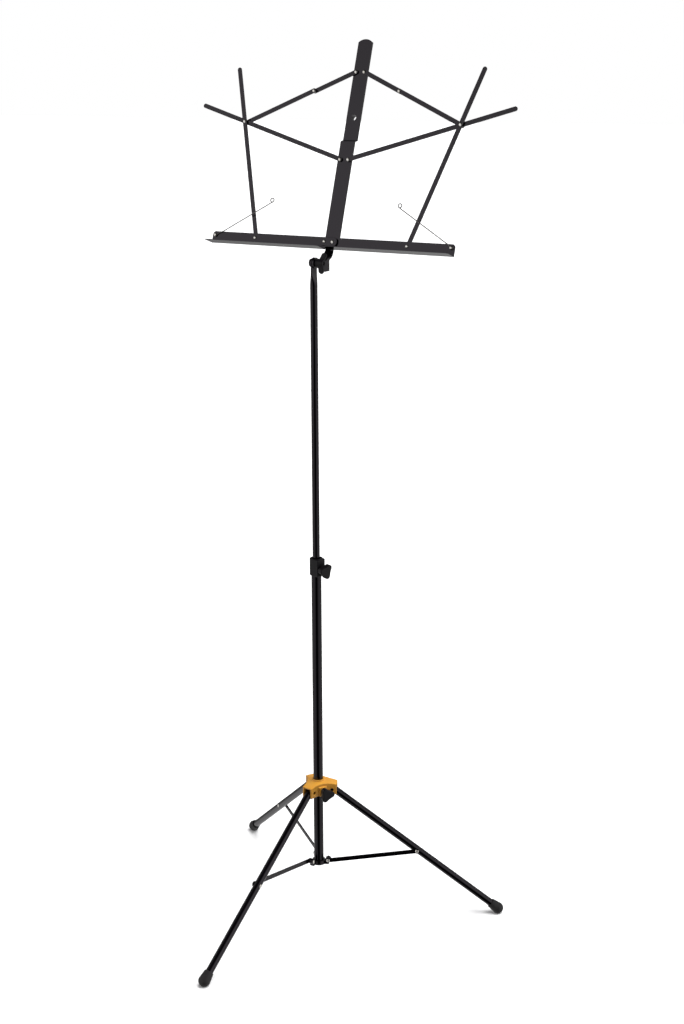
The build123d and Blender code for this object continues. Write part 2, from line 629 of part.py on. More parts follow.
def spine():
    """Pressed channel: flat front, shallow side flanges, upper part set back by a step."""
    half = SPINE_WIDTH / 2
    step_end = SPINE_STEP_V + SPINE_STEP_LENGTH

    def side_profile(front, back):
        return [
            (SPINE_BOTTOM_V, front),
            (SPINE_STEP_V, front),
            (step_end, front - SPINE_SETBACK),
            (SPINE_TOP_V, front - SPINE_SETBACK),
            (SPINE_TOP_V, back - SPINE_SETBACK),
            (step_end, back - SPINE_SETBACK),
            (SPINE_STEP_V, back),
            (SPINE_BOTTOM_V, back),
        ]

    side_plane = Plane(origin=(0, 0, 0), x_dir=(0, 1, 0), z_dir=(1, 0, 0))
    outer_side = make_face(Polyline(*side_profile(0, -SPINE_DEPTH), close=True))
    inner_side = make_face(Polyline(*side_profile(-SPINE_SHEET, -SPINE_DEPTH - CUT_MARGIN), close=True))
    outer = extrude(side_plane * outer_side, half, both=True)
    inner = extrude(side_plane * inner_side, half - SPINE_SHEET, both=True)
    body = outer - inner
    crown_r = (half**2 + SPINE_CROWN**2) / (2 * SPINE_CROWN)
    crown_start = SPINE_TOP_V - SPINE_CROWN
    below_crown = box_between(-half, half, SPINE_BOTTOM_V, crown_start, -LONG_CUT, CUT_MARGIN)
    crown = Pos(0, SPINE_TOP_V - crown_r, 0) * rod(crown_r, -LONG_CUT, CUT_MARGIN)
    body = body & (below_crown + crown)
    front_w = {0.0: 0.0, CROSS_PIVOT_V: 0.0, LINK_PIVOT_V: -SPINE_SETBACK}
    for pivot_v, front in front_w.items():
        for u in (-PIVOT_HALF_SPACING, PIVOT_HALF_SPACING):
            body -= Pos(u, pivot_v, 0) * rod(RIVET_R, front - SPINE_SHEET, front)
    back = -SPINE_SETBACK - SPINE_SHEET
    body -= Pos(0, EYELET_V, 0) * rod(EYELET_HOLE_R, back, -SPINE_SETBACK)
    return on_desk(body)


def spine_eyelet():
    """Short sleeve behind the hole in the upper spine."""
    back = -SPINE_SETBACK - SPINE_SHEET
    ring = pipe(EYELET_HOLE_R + EYELET_WALL, EYELET_HOLE_R, back - EYELET_LENGTH, back)
    return on_desk(Pos(0, EYELET_V, 0) * ring)


def spine_rivets():
    """Pivots of the cross bars and of the inner links on the spine."""
    pins = []
    for u in (-PIVOT_HALF_SPACING, PIVOT_HALF_SPACING):
        cross = rivet(-SPINE_SHEET, CROSS_W + BAR_THICKNESS + RUNNING_FIT)
        link = rivet(-SPINE_SETBACK - SPINE_SHEET, INNER_LINK_W + BAR_THICKNESS + RUNNING_FIT)
        pins.append(on_desk(Pos(u, CROSS_PIVOT_V, 0) * cross))
        pins.append(on_desk(Pos(u, LINK_PIVOT_V, 0) * link))
    return Compound(children=pins)


def plate_back():
    return TRAY_BACK_W["left"] + TRAY_SHEET + PLATE_GAP


def centre_plate():
    outline = RectangleRounded(PLATE_WIDTH, PLATE_HEIGHT, PLATE_CORNER_R)
    plate = Pos(0, 0, plate_back()) * extrude(outline, PLATE_SHEET)
    plate = fillet(plate.faces().sort_by(Axis.Z)[-1].edges(), PLATE_EDGE_ROUND)
    for u in (-PIVOT_HALF_SPACING, PIVOT_HALF_SPACING):
        plate -= Pos(u, 0, 0) * rod(RIVET_R, plate_back(), plate_back() + PLATE_SHEET)
    return on_desk(plate)


def centre_rivets():
    back = -SPINE_SHEET - BRACKET_SHEET
    pin = rivet(back, plate_back() + PLATE_SHEET)
    pins = [on_desk(Pos(u, 0, 0) * pin) for u in (-PIVOT_HALF_SPACING, PIVOT_HALF_SPACING)]
    return Compound(children=pins)


def tray_spacers():
    """Sleeves that hold the trays off the spine so the bars can fold behind them."""
    rings = []
    for side in ("left", "right"):
        ring = pipe(TRAY_SPACER_R, RIVET_R, 0, TRAY_BACK_W[side] - SPACER_GAP)
        rings.append(on_desk(Pos(side_sign(side) * PIVOT_HALF_SPACING, 0, 0) * ring))
    return Compound(children=rings)


def tray(side):
    """Half of the page tray: upright flange with a shelf along its lower edge."""
    back = TRAY_BACK_W[side]
    front = back + TRAY_SHEET
    pivot = PIVOT_HALF_SPACING
    shelf_start = pivot - TRAY_INNER_REACH
    flange = box_between(pivot, TRAY_END_U, TRAY_SHELF_V, TRAY_TOP_V, back, front)
    flange = fillet(
        flange.edges().filter_by(Axis.Z).group_by(Axis.X)[-1].sort_by(Axis.Y)[-1], TRAY_CORNER_R
    )
    flange += box_between(shelf_start, pivot, TRAY_SHELF_V, 0, back, front)
    flange += Pos(pivot, 0, 0) * rod(TRAY_TOP_V, back, front)
    shelf = box_between(
        shelf_start, TRAY_END_U, TRAY_SHELF_V - TRAY_SHEET, TRAY_SHELF_V, back, front + TRAY_SHELF_DEPTH
    )
    shelf = fillet(shelf.edges().filter_by(Axis.Y).group_by(Axis.Z)[-1], TRAY_SHELF_CORNER_R)
    body = flange + shelf
    body -= Pos(pivot, 0, 0) * rod(RIVET_R + RUNNING_FIT, back, front)
    body -= Pos(pivot + TRAY_TO_BAR, 0, 0) * rod(RIVET_R, back, front)
    body -= Pos(WIRE_PIVOT_U, WIRE_PIVOT_V, 0) * rod(RIVET_R, back, front)
    return on_desk(mirrored(body, side))


def tray_rivets(side):
    """Pivots of the upright bar and of the page wire on one tray."""
    front = TRAY_BACK_W[side] + TRAY_SHEET
    bar_pin = rivet(UPRIGHT_W - PIN_PLAY, front)
    wire_pin = headed_stub(TRAY_BACK_W[side], front + 2 * (WIRE_R + WIRE_GAP))
    bar_pin = Pos(PIVOT_HALF_SPACING + TRAY_TO_BAR, 0, 0) * bar_pin
    wire_pin = Pos(WIRE_PIVOT_U, WIRE_PIVOT_V, 0) * wire_pin
    pins = [on_desk(mirrored(pin, side)) for pin in (bar_pin, wire_pin)]
    return Compound(children=pins)


def upright_bar(side):
    start = (PIVOT_HALF_SPACING + TRAY_TO_BAR, 0)
    bar = flat_bar(start, UPRIGHT_ANGLE, UPRIGHT_LENGTH, UPRIGHT_W, [0])
    stud_hole = Pos(CROSSING_U, CROSSING_V, 0) * rod(RIVET_R, UPRIGHT_W, UPRIGHT_W + BAR_THICKNESS)
    return on_desk(mirrored(bar - stud_hole, side))


def upright_stud(side):
    """Crossing rivet, front part: dome, shank in the upright bar and a spacer behind it."""
    stud = headed_stub(UPRIGHT_W, UPRIGHT_W + BAR_THICKNESS)
    spacer = rod(SPACER_R, CROSS_W + BAR_THICKNESS + SPACER_GAP, UPRIGHT_W)
    return on_desk(mirrored(Pos(CROSSING_U, CROSSING_V, 0) * (stud + spacer), side))


def cross_bar(side):
    start = (PIVOT_HALF_SPACING, CROSS_PIVOT_V)
    bar = flat_bar(start, CROSS_ANGLE, CROSS_LENGTH, CROSS_W, [0])
    return on_desk(mirrored(bar, side))


def inner_link(side):
    start = (PIVOT_HALF_SPACING, LINK_PIVOT_V)
    link = flat_bar(start, LINK_ANGLE, INNER_LINK, INNER_LINK_W, [0])
    knee_hole = Pos(KNEE_U, KNEE_V, 0) * rod(RIVET_R, INNER_LINK_W, INNER_LINK_W + BAR_THICKNESS)
    return on_desk(mirrored(link - knee_hole, side))


def knee_rivet(side):
    pin = rivet(INNER_LINK_W, OUTER_LINK_W + BAR_THICKNESS + RUNNING_FIT)
    back_end = INNER_LINK_W - RIVET_HEAD_HEIGHT - CUT_MARGIN
    pin -= rod(RIVET_HEAD_R + CUT_MARGIN, back_end, INNER_LINK_W)
    pin += rod(SPACER_R, INNER_LINK_W + BAR_THICKNESS, OUTER_LINK_W - SPACER_GAP)
    return on_desk(mirrored(Pos(KNEE_U, KNEE_V, 0) * pin, side))


def outer_link(side):
    link = flat_bar((KNEE_U, KNEE_V), LINK_ANGLE, OUTER_LINK, OUTER_LINK_W, [0])
    stud_hole = Pos(CROSSING_U, CROSSING_V, 0) * rod(RIVET_R, OUTER_LINK_W, OUTER_LINK_W + BAR_THICKNESS)
    return on_desk(mirrored(link - stud_hole, side))


def link_stud(side):
    """Crossing rivet, back part: dome behind the outer link and a spacer in front of it."""
    top = OUTER_LINK_W + BAR_THICKNESS
    back_dome = Pos(0, 0, OUTER_LINK_W) * Rot(180, 0, 0) * dome(RIVET_HEAD_R, RIVET_HEAD_HEIGHT, 0)
    stud = rod(RIVET_R, OUTER_LINK_W, top) + back_dome + rod(SPACER_R, top, CROSS_W - SPACER_GAP)
    return on_desk(mirrored(Pos(CROSSING_U, CROSSING_V, 0) * stud, side))


def page_wire(side):
    """Wire that holds a page: an eye on the tray rivet, a bent arm and an end loop."""
    centre_w = TRAY_BACK_W[side] + TRAY_SHEET + WIRE_GAP + WIRE_R
    eye_r = RIVET_R + RUNNING_FIT + WIRE_R
    loop_u, loop_v = WIRE_LOOP_CENTRE
    bend_u, bend_v = WIRE_BEND[side]
    slope = atan2(loop_v - bend_v, loop_u - bend_u)
    arm_end = (loop_u - WIRE_LOOP_R * cos(slope), loop_v - WIRE_LOOP_R * sin(slope))
    eye_angle = atan2(bend_v, bend_u)
    arm_start = (eye_r * cos(eye_angle), eye_r * sin(eye_angle))
    path_points = [arm_start, (bend_u, bend_v), arm_end]
    wire = Torus(eye_r, WIRE_R) + Pos(loop_u, loop_v, 0) * Torus(WIRE_LOOP_R, WIRE_R)
    for first, second in zip(path_points, path_points[1:]):
        length = hypot(second[0] - first[0], second[1] - first[1])
        angle = degrees(atan2(second[1] - first[1], second[0] - first[0]))
        wire += Pos(*first, 0) * Rot(0, 0, angle) * along_x(rod(WIRE_R, 0, length))
    wire += Pos(bend_u, bend_v, 0) * Sphere(WIRE_R)
    placed = Pos(WIRE_PIVOT_U, WIRE_PIVOT_V, centre_w) * wire
    return on_desk(mirrored(placed, side))


def twisted_neck(start_v, middle_w):
    """Strip that turns a quarter turn on its way from the desk plane to the upright ear."""
    start = DESK_PLANE.from_local_coords(Vector(NECK_U, start_v, middle_w))
    end = Vector(EAR_X, STRIP_Y, STRIP_TOP_Z)
    start_down = DESK_PLANE.y_dir * -1
    end_down = Vector(0, 0, -1)
    sections = []
    for step in range(TWIST_STEPS + 1):
        share = step / TWIST_STEPS
        turn = radians(90 * share)
        down = start_down * (1 - share) + end_down * share
        middle = start * (1 - share) + end * share
        plane = Plane(origin=middle, x_dir=(cos(turn), sin(turn), 0), z_dir=down)
        sections.append(plane * Rectangle(NECK_WIDTH, BRACKET_SHEET))
    return loft(sections, ruled=True)


def tilt_bracket():
    """Bent sheet: plate behind the spine, twisted neck, and an upright ear forward to the bolt."""
    back = -SPINE_SHEET - BRACKET_SHEET
    half_plate = BRACKET_PLATE_WIDTH / 2
    half_neck = NECK_WIDTH / 2
    plate = box_between(-half_plate, half_plate, NECK_START_V, BRACKET_PLATE_TOP_V, back, -SPINE_SHEET)
    neck = box_between(
        NECK_U - half_neck, NECK_U + half_neck, TWIST_START_V, NECK_START_V, back, -SPINE_SHEET
    )
    body = plate + neck
    for u in (-PIVOT_HALF_SPACING, PIVOT_HALF_SPACING):
        body -= Pos(u, 0, 0) * rod(RIVET_R, back, -SPINE_SHEET)
    body = on_desk(body) + twisted_neck(TWIST_START_V, back + BRACKET_SHEET / 2)
    front_y = STRIP_Y - half_neck
    back_y = STRIP_Y + half_neck
    outline = [
        (0, BOLT_Z + EAR_EYE_R),
        (front_y, STRIP_TOP_Z),
        (back_y, STRIP_TOP_Z),
        (back_y, STRIP_BOTTOM_Z),
        (front_y, STRIP_BOTTOM_Z),
        (ARM_BEND_Y, BOLT_Z - EAR_EYE_R),
        (0, BOLT_Z - EAR_EYE_R),
    ]
    ear_plane = Plane(origin=(EAR_X, 0, 0), x_dir=(0, 1, 0), z_dir=(1, 0, 0))
    ear = extrude(ear_plane * make_face(Polyline(*outline, close=True)), BRACKET_SHEET / 2, both=True)
    eye = Pos(EAR_X - BRACKET_SHEET / 2, 0, BOLT_Z) * along_x(rod(EAR_EYE_R, 0, BRACKET_SHEET))
    bolt_hole = Pos(0, 0, BOLT_Z) * along_x(rod(BOLT_R + RUNNING_FIT, 0, EAR_X + BRACKET_SHEET))
    return body + ear + eye - bolt_hole


def build_parts():
    parts = {
        "lower_tube": lower_tube(),
        "tube_plug": tube_plug(),
        "height_collar": height_collar(),
        "bottom_bracket": bottom_bracket(),
        "bracket_rivets": bracket_rivets(),
        "collar_liner": collar_liner(),
        "collar_screw": collar_screw(),
        "collar_knob": collar_knob(),
        "hub": hub(),
        "hub_pins": hub_pins(),
        "hub_screw": hub_screw(),
        "hub_knob": hub_knob(),
        "upper_tube": upper_tube(),
        "guide_bush": guide_bush(),
        "tilt_bolt": tilt_bolt(),
        "tilt_knob": tilt_knob(),
        "tilt_bracket": tilt_bracket(),
        "spine": spine(),
        "spine_eyelet": spine_eyelet(),
        "spine_rivets": spine_rivets(),
        "centre_plate": centre_plate(),
        "centre_rivets": centre_rivets(),
        "tray_spacers": tray_spacers(),
    }
    for name, azimuth in LEG_AZIMUTHS.items():
        parts[f"leg_tube_{name}"] = around_mast(leg_tube(), azimuth)
        parts[f"leg_rivet_{name}"] = around_mast(leg_rivet(), azimuth)
        parts[f"foot_{name}"] = around_mast(rubber_foot(), azimuth)
        parts[f"brace_{name}"] = around_mast(brace(), azimuth)
        parts[f"brace_stud_{name}"] = around_mast(brace_stud(), azimuth)
    for side in ("left", "right"):
        parts[f"tray_{side}"] = tray(side)
        parts[f"tray_rivets_{side}"] = tray_rivets(side)
        parts[f"upright_bar_{side}"] = upright_bar(side)
        parts[f"upright_stud_{side}"] = upright_stud(side)
        parts[f"cross_bar_{side}"] = cross_bar(side)
        parts[f"inner_link_{side}"] = inner_link(side)
        parts[f"knee_rivet_{side}"] = knee_rivet(side)
        parts[f"outer_link_{side}"] = outer_link(side)
        parts[f"link_stud_{side}"] = link_stud(side)
        parts[f"page_wire_{side}"] = page_wire(side)
    return parts


def footprint_shift(parts):
    """Move that brings the middle of the bounding box over the origin."""
    boxes = [part.bounding_box() for part in parts.values()]
    middle_x = (min(box.min.X for box in boxes) + max(box.max.X for box in boxes)) / 2
    middle_y = (min(box.min.Y for box in boxes) + max(box.max.Y for box in boxes)) / 2
    return Pos(-middle_x, -middle_y, 0)


if __name__ == "__main__":
    os.makedirs("parts", exist_ok=True)
    all_parts = build_parts()
    shift = footprint_shift(all_parts)
    for node, part in all_parts.items():
        export_step(shift * part, f"parts/{node}.step")
    print("mast axis at", shift.position)
    print("parts", len(all_parts))
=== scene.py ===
"""Looks of the folding music stand: materials, rounded and moulded pieces, studio and camera."""

import json
from math import atan2, cos, pi, radians, sin

import bmesh
import bpy
from mathutils import Matrix, Vector

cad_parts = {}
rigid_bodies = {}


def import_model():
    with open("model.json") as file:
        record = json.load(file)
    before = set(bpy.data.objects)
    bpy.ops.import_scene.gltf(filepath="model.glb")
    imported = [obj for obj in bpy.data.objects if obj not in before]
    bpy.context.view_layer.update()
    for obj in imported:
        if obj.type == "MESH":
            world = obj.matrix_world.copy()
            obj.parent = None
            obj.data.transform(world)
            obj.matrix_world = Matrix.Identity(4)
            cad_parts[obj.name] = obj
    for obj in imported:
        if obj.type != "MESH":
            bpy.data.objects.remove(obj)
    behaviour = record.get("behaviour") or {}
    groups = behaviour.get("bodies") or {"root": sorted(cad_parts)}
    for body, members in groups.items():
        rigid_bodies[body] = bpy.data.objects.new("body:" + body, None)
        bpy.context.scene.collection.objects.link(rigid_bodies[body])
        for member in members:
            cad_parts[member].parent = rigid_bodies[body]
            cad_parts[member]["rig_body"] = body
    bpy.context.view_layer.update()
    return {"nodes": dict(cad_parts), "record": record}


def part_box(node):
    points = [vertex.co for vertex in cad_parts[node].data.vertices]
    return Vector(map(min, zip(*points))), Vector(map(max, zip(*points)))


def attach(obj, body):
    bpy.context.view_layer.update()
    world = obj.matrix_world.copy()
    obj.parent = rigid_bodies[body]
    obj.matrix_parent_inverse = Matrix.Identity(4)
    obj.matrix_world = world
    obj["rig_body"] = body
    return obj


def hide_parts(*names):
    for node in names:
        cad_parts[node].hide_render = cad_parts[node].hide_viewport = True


# --- camera, placed from the point where the mast's axis meets the floor ---
CAMERA_FROM_MAST = Vector((1.4017, -2.3820, 1.5737))
CAMERA_AZIMUTH = radians(29.49)
CAMERA_DROP = radians(15.74)
CAMERA_ROLL = radians(-0.25)
LENS_MM = 55.6
SENSOR_MM = 36.0

# --- floor ---
FLOOR_HALF_SIZE = 40.0
FLOOR_GAP = 0.0002
FLOOR_TONE = (0.90, 0.90, 0.905)
FLOOR_ROUGHNESS = (0.85, 0.95)
FLOOR_MOTTLE = {"scale": 3.0, "detail": 3.0}

# --- studio walls, by angle round from the camera's side ---
DARK_STRENGTH = 0.01
DARK_WITHIN = radians(14)
BRIGHT_BEYOND = radians(40)
BACK_STRENGTH = 0.25
BACK_FADES_FROM = radians(95)
BACK_FADES_TO = radians(150)

# --- studio heights, by the upward part of a unit direction, from -1 to 1 ---
CEILING_FADES_FROM = 0.45
CEILING_FADES_TO = 0.80
CEILING_STRENGTH = 0.04
GLOW_FADES_FROM = -0.30
GLOW_FADES_TO = -0.55
GLOW_STRENGTH = 0.75
LOW_WALL_FROM = -0.30
LOW_WALL_TO = 0.15
LOW_WALL_STRENGTH = 0.55

# --- lights ---
KEY_STRENGTH = 4.0
KEY_ANGLE = radians(50)
KEY_FROM = Vector((0.45, 0.30, 1.6))
FILL_STRENGTH = 0.9
FILL_ANGLE = radians(180)
FILL_FROM = Vector((0.0, 0.0, 1.0))

# --- page wires, measured from the eye: inward along the tray, and up ---
WIRE_R = 0.0009
WIRE_EYE_R = 0.0027
WIRE_LOOP_R = 0.0036
EYE_SWEEP = radians(330)
ARC_POINTS = 14
WIRE_ROUND_STEPS = 4
WIRE_LENGTH_STEPS = 6
WIRE_CURVE_ORDER = 3
WIRE_LOOP = (0.1096, 0.0682)
WIRE_BENDS = {
    "left": [(0.0052, 0.0030), (0.0150, 0.0064), (0.0300, 0.0160)],
    "right": [(0.0045, 0.0042), (0.0145, 0.0094), (0.0300, 0.0185)],
}

# --- flattened end of the upper tube ---
TUBE_SIDES = 64
BLADE_HALF_THICKNESS = 0.0014
BLADE_OFFSET = 0.0004
FLAT_BELOW_BOLT = 0.016
SQUEEZE_LENGTH = 0.024
SQUEEZE_RINGS = 28
TIP_RINGS = 12
TUBE_LIP = 0.001

# --- edge rounding ---
SHEET_EDGE = 0.00035
SHEET_EDGE_STEPS = 2
FLAT_FACE_WEIGHT = 100
SHEET_WORDS = ("bar", "link", "tray_left", "tray_right", "spine", "plate", "brace_", "bracket")
NOT_SHEET_WORDS = ("rivet", "stud", "eyelet", "spacer")
MOULDED_NODES = (
    "hub",
    "height_collar",
    "collar_knob",
    "hub_knob",
    "tilt_knob",
    "foot_front",
    "foot_right",
    "foot_left",
)
MOULD_VOXEL = 0.0004
MOULD_RELAX = 0.5
MOULD_ROUNDS = 10
WELD_GAP = 0.000002
FLAT_ANGLE = radians(0.3)
ROUND_ANGLE = radians(38.0)
NO_CREASES = pi

# --- finishes: two tones in broad patches, and a fine grain with its relief in metres ---
NOISE_LOW = 0.3
NOISE_HIGH = 0.7
FINISHES = {
    # Satin enamel with the fine orange peel of a powder coat.
    "black_paint": {
        "dark": (0.0009, 0.0007, 0.0011),
        "light": (0.0018, 0.0014, 0.0021),
        "roughness": (0.13, 0.18),
        "patches": {"scale": 14.0, "detail": 4.0},
        "grain": {"scale": 900.0, "detail": 2.0},
        "relief": 0.00002,
        "shader": {"Specular Tint": (0.98, 0.90, 1.0, 1.0)},
    },
    # Matt moulded plastic with a spark-eroded grain.
    "black_plastic": {
        "dark": (0.0024, 0.0020, 0.0029),
        "light": (0.0046, 0.0038, 0.0054),
        "roughness": (0.40, 0.50),
        "patches": {"scale": 30.0, "detail": 3.0},
        "grain": {"scale": 1600.0, "detail": 2.0},
        "relief": 0.00005,
        "shader": {"Specular IOR Level": 0.26},
    },
    # Golden-yellow moulded plastic, slightly glossy.
    "hub_plastic": {
        "dark": (0.53, 0.240, 0.028),
        "light": (0.59, 0.285, 0.038),
        "roughness": (0.36, 0.46),
        "patches": {"scale": 45.0, "detail": 4.0},
        "grain": {"scale": 1300.0, "detail": 2.0},
        "relief": 0.00004,
        "shader": {"Subsurface Weight": 0.05, "Subsurface Radius": (0.004, 0.002, 0.0008)},
    },
    # Dull black rubber with a dusty bloom.
    "rubber": {
        "dark": (0.009, 0.008, 0.009),
        "light": (0.018, 0.017, 0.018),
        "roughness": (0.55, 0.72),
        "patches": {"scale": 60.0, "detail": 5.0, "roughness": 0.6},
        "grain": {"scale": 1100.0, "detail": 4.0, "roughness": 0.6},
        "relief": 0.00008,
        "shader": {},
    },
    # Bright nickel plate, with the faint waves of a pressed rivet head.
    "nickel": {
        "dark": (0.70, 0.66, 0.60),
        "light": (0.86, 0.84, 0.80),
        "roughness": (0.14, 0.26),
        "patches": {"scale": 90.0, "detail": 3.0},
        "grain": {"scale": 500.0, "detail": 2.0},
        "relief": 0.00003,
        "shader": {"Metallic": 1.0},
    },
    # Dull steel of pins and screws, faintly rough.
    "steel": {
        "dark": (0.17, 0.16, 0.155),
        "light": (0.25, 0.24, 0.23),
        "roughness": (0.28, 0.42),
        "patches": {"scale": 120.0, "detail": 3.0},
        "grain": {"scale": 2200.0, "detail": 2.0},
        "relief": 0.00003,
        "shader": {"Metallic": 1.0},
    },
}


# ---------------------------------------------------------------- materials


def new_material(name):
    """A new material, with its node tree and its shader."""
    material = bpy.data.materials.new(name)
    material.use_nodes = True
    tree = material.node_tree
    return material, tree, tree.nodes["Principled BSDF"]


def node(tree, kind, **values):
    """Adds one shader node and sets its properties."""
    added = tree.nodes.new(kind)
    for key, value in values.items():
        setattr(added, key, value)
    return added


def noise(tree, scale, detail, roughness=0.5):
    """Noise in the piece's own coordinates, in metres."""
    coordinates = node(tree, "ShaderNodeTexCoord")
    texture = node(tree, "ShaderNodeTexNoise")
    texture.inputs["Scale"].default_value = scale
    texture.inputs["Detail"].default_value = detail
    texture.inputs["Roughness"].default_value = roughness
    tree.links.new(coordinates.outputs["Object"], texture.inputs["Vector"])
    return texture.outputs["Fac"]


def spread(tree, source, low, high):
    """Maps the middle band of a noise to the values low..high."""
    ramp = node(tree, "ShaderNodeMapRange")
    ramp.inputs["From Min"].default_value = NOISE_LOW
    ramp.inputs["From Max"].default_value = NOISE_HIGH
    ramp.inputs["To Min"].default_value = low
    ramp.inputs["To Max"].default_value = high
    tree.links.new(source, ramp.inputs["Value"])
    return ramp.outputs["Result"]


def tint(tree, source, dark, light):
    """Colour between dark and light, driven by a noise."""
    ramp = node(tree, "ShaderNodeValToRGB")
    stops = zip(ramp.color_ramp.elements, (dark, light), (NOISE_LOW, NOISE_HIGH))
    for stop, tone, position in stops:
        stop.color = (*tone, 1.0)
        stop.position = position
    tree.links.new(source, ramp.inputs["Fac"])
    return ramp.outputs["Color"]


def bump(tree, shader, source, height):
    """Surface relief from a noise, with its height in metres."""
    relief = node(tree, "ShaderNodeBump")
    relief.inputs["Distance"].default_value = height
    relief.inputs["Strength"].default_value = 1.0
    tree.links.new(source, relief.inputs["Height"])
    tree.links.new(relief.outputs["Normal"], shader.inputs["Normal"])


def finish_material(name, finish):
    """Material of one finish: patches drive tone and roughness, grain drives the relief."""
    material, tree, shader = new_material(name)
    grain = noise(tree, **finish["grain"])
    patches = noise(tree, **finish["patches"])
    tone = tint(tree, patches, finish["dark"], finish["light"])
    roughness = spread(tree, patches, *finish["roughness"])
    tree.links.new(tone, shader.inputs["Base Color"])
    tree.links.new(roughness, shader.inputs["Roughness"])
    for socket, value in finish["shader"].items():
        shader.inputs[socket].default_value = value
    bump(tree, shader, grain, finish["relief"])
    return material


def floor_paint():
    """Plain pale studio floor."""
    material, tree, shader = new_material("studio_floor")
    mottle = noise(tree, **FLOOR_MOTTLE)
    roughness = spread(tree, mottle, *FLOOR_ROUGHNESS)
    shader.inputs["Base Color"].default_value = (*FLOOR_TONE, 1.0)
    tree.links.new(roughness, shader.inputs["Roughness"])
    return material


# ---------------------------------------------------------------- pieces


def slot_of(frame, name):
    """The record's material slot of a CAD node."""
    for entry in frame["record"]["subparts"]:
        if entry["node"] == name:
            return entry["material_slot"]
    raise KeyError(name)


def paint(piece, material):
    """Gives every face of a piece one material."""
    piece.data.materials.clear()
    piece.data.materials.append(material)


def apply_modifiers(piece):
    """Turns a piece's modifiers into its mesh."""
    bpy.context.view_layer.update()
    graph = bpy.context.evaluated_depsgraph_get()
    finished = bpy.data.meshes.new_from_object(piece.evaluated_get(graph))
    piece.modifiers.clear()
    piece.data = finished


def smooth(piece, angle=ROUND_ANGLE):
    """Smooth shading, with creases where faces meet at the angle or more."""
    for polygon in piece.data.polygons:
        polygon.use_smooth = True
    mesh = bmesh.new()
    mesh.from_mesh(piece.data)
    for edge in mesh.edges:
        edge.smooth = len(edge.link_faces) == 2 and edge.calc_face_angle() < angle
    mesh.to_mesh(piece.data)
    mesh.free()


def welded_copy(frame, name):
    """A copy of a CAD node with its triangles joined into whole flat faces."""
    piece = bpy.data.objects.new(name + "_finished", frame["nodes"][name].data.copy())
    bpy.context.scene.collection.objects.link(piece)
    mesh = bmesh.new()
    mesh.from_mesh(piece.data)
    bmesh.ops.remove_doubles(mesh, verts=mesh.verts, dist=WELD_GAP)
    bmesh.ops.dissolve_limit(mesh, angle_limit=FLAT_ANGLE, verts=mesh.verts, edges=mesh.edges)
    mesh.to_mesh(piece.data)
    mesh.free()
    return piece


def rounded_copy(frame, name):
    """A copy of a CAD node with the softened edges of cut sheet metal."""
    piece = welded_copy(frame, name)
    bevel = piece.modifiers.new("round_edges", "BEVEL")
    bevel.width = SHEET_EDGE
    bevel.segments = SHEET_EDGE_STEPS
    bevel.limit_method = "ANGLE"
    bevel.angle_limit = ROUND_ANGLE
    bevel.use_clamp_overlap = True
    apply_modifiers(piece)
    smooth(piece)
    flatten = piece.modifiers.new("flat_faces", "WEIGHTED_NORMAL")
    flatten.keep_sharp = True
    flatten.weight = FLAT_FACE_WEIGHT
    apply_modifiers(piece)
    return piece


def moulded_copy(frame, name):
    """A copy of a CAD node with every edge softened, as on an injection moulding."""
    piece = welded_copy(frame, name)
    skin = piece.modifiers.new("skin", "REMESH")
    skin.mode = "VOXEL"
    skin.voxel_size = MOULD_VOXEL
    relax = piece.modifiers.new("relax", "SMOOTH")
    relax.factor = MOULD_RELAX
    relax.iterations = MOULD_ROUNDS
    apply_modifiers(piece)
    smooth(piece, NO_CREASES)
    return piece


def ringed_piece(name, rings):
    """A closed tube through a list of rings, each with the same number of points."""
    mesh = bmesh.new()
    loops = [[mesh.verts.new(point) for point in ring] for ring in rings]
    count = len(loops[0])
    for first, second in zip(loops, loops[1:]):
        for i in range(count):
            j = (i + 1) % count
            mesh.faces.new((first[i], first[j], second[j], second[i]))
    mesh.faces.new(loops[0])
    mesh.faces.new(loops[-1])
    bmesh.ops.recalc_face_normals(mesh, faces=mesh.faces)
    data = bpy.data.meshes.new(name)
    mesh.to_mesh(data)
    mesh.free()
    piece = bpy.data.objects.new(name, data)
    bpy.context.scene.collection.objects.link(piece)
    return piece


def stand_in(frame, piece, name, materials):
    """Puts a finished piece in a CAD node's place: same body, same slot, same finish."""
    slot = slot_of(frame, name)
    paint(piece, materials[slot])
    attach(piece, frame["nodes"][name]["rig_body"])
    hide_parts(name)


def finish_cad_nodes(frame, materials):
    """Gives every CAD node its procedural material."""
    for name, cad_object in frame["nodes"].items():
        material = materials[slot_of(frame, name)]
        for slot in cad_object.material_slots:
            slot.material = material


def round_sheet_metal(frame, materials):
    """Softened edges on everything cut or pressed from sheet."""
    for name in frame["nodes"]:
        sheet = any(word in name for word in SHEET_WORDS)
        if sheet and not any(word in name for word in NOT_SHEET_WORDS):
            stand_in(frame, rounded_copy(frame, name), name, materials)


def soften_mouldings(frame, materials):
    """Soft edges on the plastic and rubber parts."""
    for name in MOULDED_NODES:
        stand_in(frame, moulded_copy(frame, name), name, materials)


def pivot(frame, joint_name):
    """A joint's pivot point and unit axis."""
    for joint in frame["record"]["behaviour"]["joints"]:
        if joint["name"] == joint_name:
            return Vector(joint["pos_m"]), Vector(joint["axis"]).normalized()
    raise KeyError(joint_name)


def middle_along(frame, name, point, axis):
    """How far along an axis from a point the middle of a CAD node lies."""
    offsets = [(vertex.co - point).dot(axis) for vertex in frame["nodes"][name].data.vertices]
    return (min(offsets) + max(offsets)) / 2


